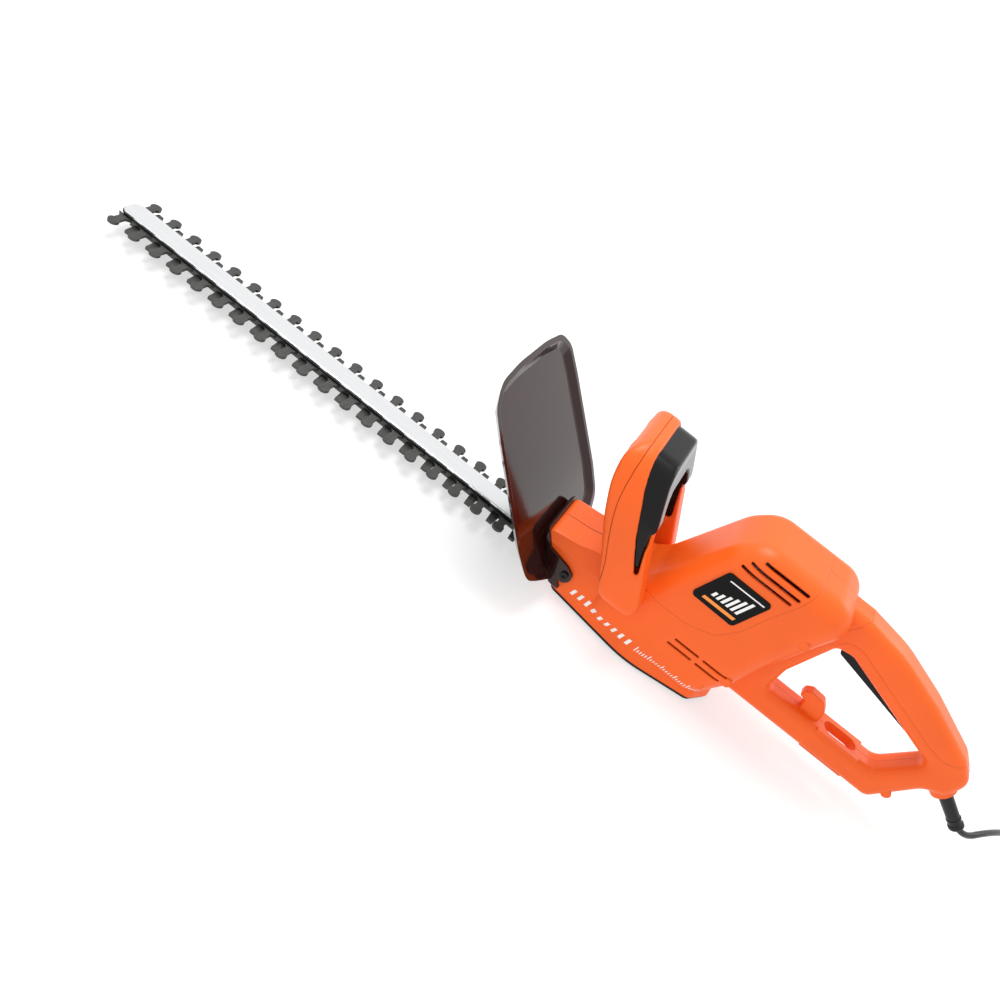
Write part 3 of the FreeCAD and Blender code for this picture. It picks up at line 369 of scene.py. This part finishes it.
def roll_edges(item, voxel, passes, swell):
    """Evens out a mesh, swells it by what the rolling takes off and rolls its sharp edges."""
    even = item.modifiers.new("even_faces", "REMESH")
    even.mode = "VOXEL"
    even.voxel_size = voxel
    even.use_smooth_shade = True
    grow = item.modifiers.new("swell", "DISPLACE")
    grow.mid_level = 0.0
    grow.strength = swell
    roll = item.modifiers.new("rolled_edges", "SMOOTH")
    roll.factor = 0.5
    roll.iterations = passes


def add_mesh_object(name, mesh):
    """A new object in the scene that shows a mesh."""
    item = bpy.data.objects.new(name, mesh)
    bpy.context.scene.collection.objects.link(item)
    return item


def finished_mesh(item):
    """The mesh that an object's modifiers give."""
    return bpy.data.meshes.new_from_object(item.evaluated_get(bpy.context.evaluated_depsgraph_get()))


both_shells = bmesh.new()
for name in ("bail_front", "bail_rear"):
    both_shells.from_mesh(nodes[name].data)
sharp_mesh = bpy.data.meshes.new("sharp_loop")
both_shells.to_mesh(sharp_mesh)
both_shells.free()
loop = add_mesh_object("loop", sharp_mesh)
roll_edges(loop, HANDLE_VOXEL, HANDLE_PASSES, HANDLE_SWELL)
rolled_mesh = finished_mesh(loop)
bpy.data.objects.remove(loop)
roll_edges(nodes["switch_bar"], HANDLE_VOXEL, SWITCH_BAR_PASSES, SWITCH_BAR_SWELL)
print("handle loop rolled at", HANDLE_VOXEL, "m:", len(rolled_mesh.polygons), "faces")

# %% [markdown]
# ## The joint of the handle shells
# A boolean cut needs a solid cutter. Here it is a block whose one side follows the joint as seen from
# the side. Its few corner points are softened by cutting each corner off twice, which takes a short
# function and comes close to an arc. The gap between the shells is a real one, about a third of a
# millimetre wide, so that light draws the joint by itself.

# %% Cut the loop into its front and rear shells
JOINT_GAP = 0.35
JOINT_LINE = [(527, -10), (527, 46), (503, 94), (491, 128), (486, 200)]
CUTTER_FRONT = 430
CUTTER_HALF = 90


def cut_corners(points):
    """Every corner replaced by two points, a quarter of the way along its runs."""
    softer = [points[0]]
    for (ax, az), (bx, bz) in zip(points, points[1:]):
        softer += [(ax + (bx - ax) * share, az + (bz - az) * share) for share in (0.25, 0.75)]
    return softer + [points[-1]]


def joint_cutter(shift):
    """A block in front of the joint line, moved back by shift millimetres."""
    line = [(x + shift, z) for x, z in cut_corners(cut_corners(JOINT_LINE))]
    outline = [(CUTTER_FRONT, line[0][1])] + line + [(CUTTER_FRONT, line[-1][1])]
    block = bmesh.new()
    near, far = ([block.verts.new(place(x, y, z)) for x, z in outline] for y in (-CUTTER_HALF, CUTTER_HALF))
    block.faces.new(near)
    block.faces.new(far[::-1])
    for i in range(len(outline)):
        k = (i + 1) % len(outline)
        block.faces.new((near[k], near[i], far[i], far[k]))
    bmesh.ops.recalc_face_normals(block, faces=block.faces)
    mesh = bpy.data.meshes.new("joint_cutter")
    block.to_mesh(mesh)
    block.free()
    return add_mesh_object("joint_cutter", mesh)


cuts = (("bail_front", "INTERSECT", -JOINT_GAP / 2), ("bail_rear", "DIFFERENCE", JOINT_GAP / 2))
for node, operation, shift in cuts:
    uncut = add_mesh_object("uncut", rolled_mesh)
    cutter = joint_cutter(shift)
    knife = uncut.modifiers.new("knife", "BOOLEAN")
    knife.operation = operation
    knife.object = cutter
    knife.solver = "MANIFOLD"
    shell = add_mesh_object(node + "_rolled", finished_mesh(uncut))
    bpy.data.objects.remove(uncut)
    bpy.data.objects.remove(cutter)
    shell.data.materials.clear()
    shell.data.materials.append(finishes["orange_shell"])
    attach(shell, "machine")
    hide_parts(node)
    print(node, len(shell.data.polygons), "faces")

# %% [markdown]
# ## Painted shade under the blade bar
# A clean black line runs along both long edges of the bright bar, at its foot. It is taken here for a thin
# dark strip; on a real bar it may be no more than an oily gap. It is painted shade: a thin dark strip
# stands for the shadow in the gap at the bar's foot. A curve with a bevel would round the strip off, and
# its section is a flat one. So it is built from its four corner lines, wrapped round the tip.

# %% Painted shade strip round the blade bar
SHADE_STRIP_WIDTH = 0.9 * MM
SHADE_STRIP_HEIGHT = 1.3 * MM
SHADE_STRIP_OUTER_SHARE = 0.8  # the outer edge is this much as high as the inner one
SHADE_STRIP_TUCK = 0.3 * MM
SHADE_STRIP_TURNS = 16
BAR_CORNER = 8 * MM
BAR_ROOT = 20 * MM

bar_low, bar_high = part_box("blade_bar")
bar_half = (bar_high.y - bar_low.y) / 2


def bar_outline(extra):
    """Outline of the bar from its root round the tip, grown by extra, at its foot."""
    corner = BAR_CORNER + extra
    half = bar_half + extra
    front = bar_low.x - extra
    shares = [i / SHADE_STRIP_TURNS for i in range(SHADE_STRIP_TURNS + 1)]
    points = [Vector((bar_high.x - BAR_ROOT, -half, bar_low.z))]
    for side, sweep in ((-1, shares), (1, shares[::-1])):
        for share in sweep:
            angle = math.pi / 2 * share
            points.append(Vector((front + corner - corner * math.sin(angle),
                                  side * (half - corner + corner * math.cos(angle)), bar_low.z)))
    points.append(Vector((bar_high.x - BAR_ROOT, half, bar_low.z)))
    return points


# A thin black strip of painted shade, standing for the shadow in the gap at the bar's foot
shade_strip = bmesh.new()
rings = []
rise = Vector((0, 0, SHADE_STRIP_HEIGHT))
for inner, outer in zip(bar_outline(-SHADE_STRIP_TUCK), bar_outline(SHADE_STRIP_WIDTH)):
    rings.append([shade_strip.verts.new(p) for p in (inner, outer, outer + rise * SHADE_STRIP_OUTER_SHARE, inner + rise)])
for a, b in zip(rings, rings[1:]):
    for i in range(4):
        shade_strip.faces.new((a[i], a[(i + 1) % 4], b[(i + 1) % 4], b[i]))
shade_strip.faces.new(rings[0])
shade_strip.faces.new(rings[-1][::-1])
bmesh.ops.recalc_face_normals(shade_strip, faces=shade_strip.faces)
shade_strip_mesh = bpy.data.meshes.new("bar_painted_shade")
shade_strip.to_mesh(shade_strip_mesh)
shade_strip.free()
# The black finish on this strip is painted shade at the bar's foot
bar_painted_shade = add_mesh_object("bar_painted_shade", shade_strip_mesh)
shade_strip_mesh.materials.append(finishes["black_cap"])
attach(bar_painted_shade, "machine")
print("shade_strip", len(rings), "sections")

# %% [markdown]
# ## Lines and marks that lie on the skin
# Shut lines and printed marks follow a curved shell. Projecting them by hand is slow, so a search tree
# of the shell's faces is asked where a ray lands. Each mark then sits a few hundredths of a millimetre
# above that spot and can't sink or float.

# %% Find the skin
RAY_START = 200 * MM


def skin_of(*names):
    """A search tree over the outside of some parts."""
    points, faces = [], []
    for name in names:
        start = len(points)
        points += [v.co.copy() for v in nodes[name].data.vertices]
        faces += [[start + i for i in polygon.vertices] for polygon in nodes[name].data.polygons]
    return BVHTree.FromPolygons(points, faces)


def land(skin, point, direction):
    """Where a ray towards direction, started well outside, meets the skin at point, and the normal."""
    heading = Vector(direction).normalized()
    spot, normal, _, _ = skin.ray_cast(point - heading * RAY_START, heading)
    if spot is None:
        return None, None
    if normal.dot(heading) > 0:
        normal = -normal
    return spot, normal


shell_skin = skin_of("casing_left", "casing_right", "motor_cover", "grip_cover")
print("skin ready")

# %% [markdown]
# ## Shut line of the two casing halves
# The left and right shells meet in the middle plane. On the real tool that joint is a hairline along the
# top of the nose and down the back of the handle. A thin dark curve laid in the skin reads as the shadow
# in that joint, and costs far less than a real groove.

# %% Shut lines
SHUT_LINE_RADIUS = 0.22 * MM
SHUT_LINE_STEP = 2 * MM


def shut_line(name, start, end, direction):
    """A fine dark line from start to end, dropped onto the skin along direction."""
    count = max(2, int((end - start).length / SHUT_LINE_STEP))
    path = [start.lerp(end, i / count) for i in range(count)] + [end]
    landed = [spot for spot, _ in (land(shell_skin, p, direction) for p in path) if spot is not None]
    line = bpy.data.curves.new(name, "CURVE")
    line.dimensions = "3D"
    line.bevel_depth = 1.0
    line.bevel_resolution = 1
    spline = line.splines.new("POLY")
    spline.points.add(len(landed) - 1)
    for point, spot in zip(spline.points, landed):
        point.co = (*spot, 1.0)
        point.radius = SHUT_LINE_RADIUS
    item = bpy.data.objects.new(name, line)
    bpy.context.scene.collection.objects.link(item)
    line.materials.append(finishes["black_cap"])
    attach(item, "machine")
    print(name, len(landed), "points")


shut_line("nose_shut_line", place(468, 0, 60), place(540, 0, 60), (0, 0, -1))
shut_line("handle_back_shut_line", place(858, 0, 90), place(858, 0, 66), (-1, 0, 0))

# %% [markdown]
# ## Printed marks
# The real tool carries lettering; here a plain scale and a few bars stand in its place, because nobody's
# name belongs on a shared part. Each bar is a thin tile with its corners dropped onto the skin.
# Flat tiles print sharper than a painted texture and keep their edge at any zoom.

# %% Inks


def ink(name, colour):
    """Screen-printing ink, a little uneven where the screen lifted."""
    finish, tree, shader = new_finish(name)
    spot = place_on_object(tree)
    tree.links.new(two_tone(tree, noise(tree, spot, 600, 2.0), scaled(colour, 0.9), colour),
                   shader.inputs["Base Color"])
    tree.links.new(spread_over(tree, noise(tree, spot, 3000), 0.4, 0.55), shader.inputs["Roughness"])
    return finish


white_ink = ink("white_ink", (0.90, 0.90, 0.88))
orange_ink = ink("orange_ink", (0.95, 0.28, 0.03))
print("inks ready")

# %% [markdown]
# ## Tiles that follow a surface
# A printed bar is a small grid of points. Every point is dropped onto the skin by itself, so the bar bends
# with the shell. A shrinkwrap modifier would do this too, but one search tree serves every bar, and it
# also gives the direction in which the ink is lifted off the shell.

# %% Tile helpers
INK_LIFT = 0.08 * MM
TILE_STEPS = 4


def tile(mesh, across, up, origin, width, height, skin, direction):
    """A thin printed bar in a mesh: rows of points from origin, each dropped onto the skin."""
    rows = []
    for j in range(TILE_STEPS + 1):
        row = []
        for i in range(TILE_STEPS + 1):
            step = across * (width * i / TILE_STEPS) + up * (height * j / TILE_STEPS)
            spot, normal = land(skin, origin + step, direction)
            row.append(mesh.verts.new(spot + normal * INK_LIFT))
        rows.append(row)
    for lower, upper in zip(rows, rows[1:]):
        for i in range(TILE_STEPS):
            mesh.faces.new((lower[i], lower[i + 1], upper[i + 1], upper[i]))


def print_marks(name, finish, bars, across, up, skin, direction):
    """bars are (start, height above the base line, width, height) in millimetres."""
    mesh = bmesh.new()
    for corner, rise, width, height in bars:
        tile(mesh, across, up, corner + up * (rise * MM), width * MM, height * MM, skin, direction)
    data = bpy.data.meshes.new(name)
    mesh.to_mesh(data)
    mesh.free()
    data.materials.append(finish)
    item = add_mesh_object(name, data)
    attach(item, "machine")
    print(name, len(bars), "bars")


print("tiles have", TILE_STEPS, "steps each way")

# %% [markdown]
# ## Print on the two labels
# A row of growing bars, a line above and an orange band below fill each label. The bars lean with the
# slanted edge of the label. All their sizes are in millimetres from the label's lower front corner.

# %% Label print
LABEL_LEAN = Vector((12.0, 0.0, 37.0)).normalized()
ALONG = Vector((1.0, 0.0, 0.0))
GAUGE_START = 8.0
GAUGE_STEP = 4.5
GAUGE_RISE = 12.0
GAUGE_WIDTH = 2.6
GAUGE_FIRST_HEIGHT = 5.0
GAUGE_GROWTH = 2.5
GAUGE_COUNT = 6
LINE_START, LINE_RISE, LINE_WIDTH, LINE_HEIGHT = 5.0, 33.0, 32.0, 1.2
BAND_START, BAND_RISE, BAND_WIDTH, BAND_HEIGHT = 6.0, 5.0, 30.0, 3.2

for side, label in ((-1, "label_left"), (1, "label_right")):
    low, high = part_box(label)
    foot = Vector((low.x, low.y if side < 0 else high.y, low.z))
    label_skin = skin_of(label)
    white_bars = [(foot + ALONG * ((GAUGE_START + GAUGE_STEP * i) * MM), GAUGE_RISE, GAUGE_WIDTH,
                   GAUGE_FIRST_HEIGHT + GAUGE_GROWTH * i) for i in range(GAUGE_COUNT)]
    white_bars.append((foot + ALONG * (LINE_START * MM), LINE_RISE, LINE_WIDTH, LINE_HEIGHT))
    orange_bars = [(foot + ALONG * (BAND_START * MM), BAND_RISE, BAND_WIDTH, BAND_HEIGHT)]
    print_marks(label + "_white_print", white_ink, white_bars, ALONG, LABEL_LEAN, label_skin, (0, -side, 0))
    print_marks(label + "_orange_print", orange_ink, orange_bars, ALONG, LABEL_LEAN, label_skin,
                (0, -side, 0))

# %% [markdown]
# ## A scale along the gearbox side
# A row of long bars and a finer rule beside it fill the place of the lettering on both sides. They lean a
# little, as such marks do, and follow the slope of the skirt because each corner is dropped onto it.

# %% Scale along the gearbox side
SCALE_STEP = 7.5
SCALE_START = 514.0
SCALE_COUNT = 9
SCALE_WIDTH = 3.0
SCALE_HEIGHT = 6.5
RULE_STEP = 2.6
RULE_START = 584.0
RULE_COUNT = 26
RULE_WIDTH = 0.9
LONG_TICK_EVERY = 5
LONG_TICK = 5.5
SHORT_TICK = 3.0
BASE_Z = -1.5
BASE_RISE = 0.03
OUTSIDE_Y = 40
SCALE_LEAN = Vector((0.25, 0, 1)).normalized()


def on_base_line(x, side):
    """A start point for a mark, outside the skirt and on its sloping base line."""
    return place(x, side * OUTSIDE_Y, BASE_Z + BASE_RISE * (x - SCALE_START))


for side, side_name in ((-1, "left"), (1, "right")):
    bars = [(on_base_line(SCALE_START + SCALE_STEP * i, side), 0.0, SCALE_WIDTH, SCALE_HEIGHT)
            for i in range(SCALE_COUNT)]
    bars += [(on_base_line(RULE_START + RULE_STEP * i, side), 0.0, RULE_WIDTH,
              SHORT_TICK if i % LONG_TICK_EVERY else LONG_TICK) for i in range(RULE_COUNT)]
    print_marks(side_name + "_side_scale", white_ink, bars, ALONG, SCALE_LEAN, shell_skin, (0, -side, 0))
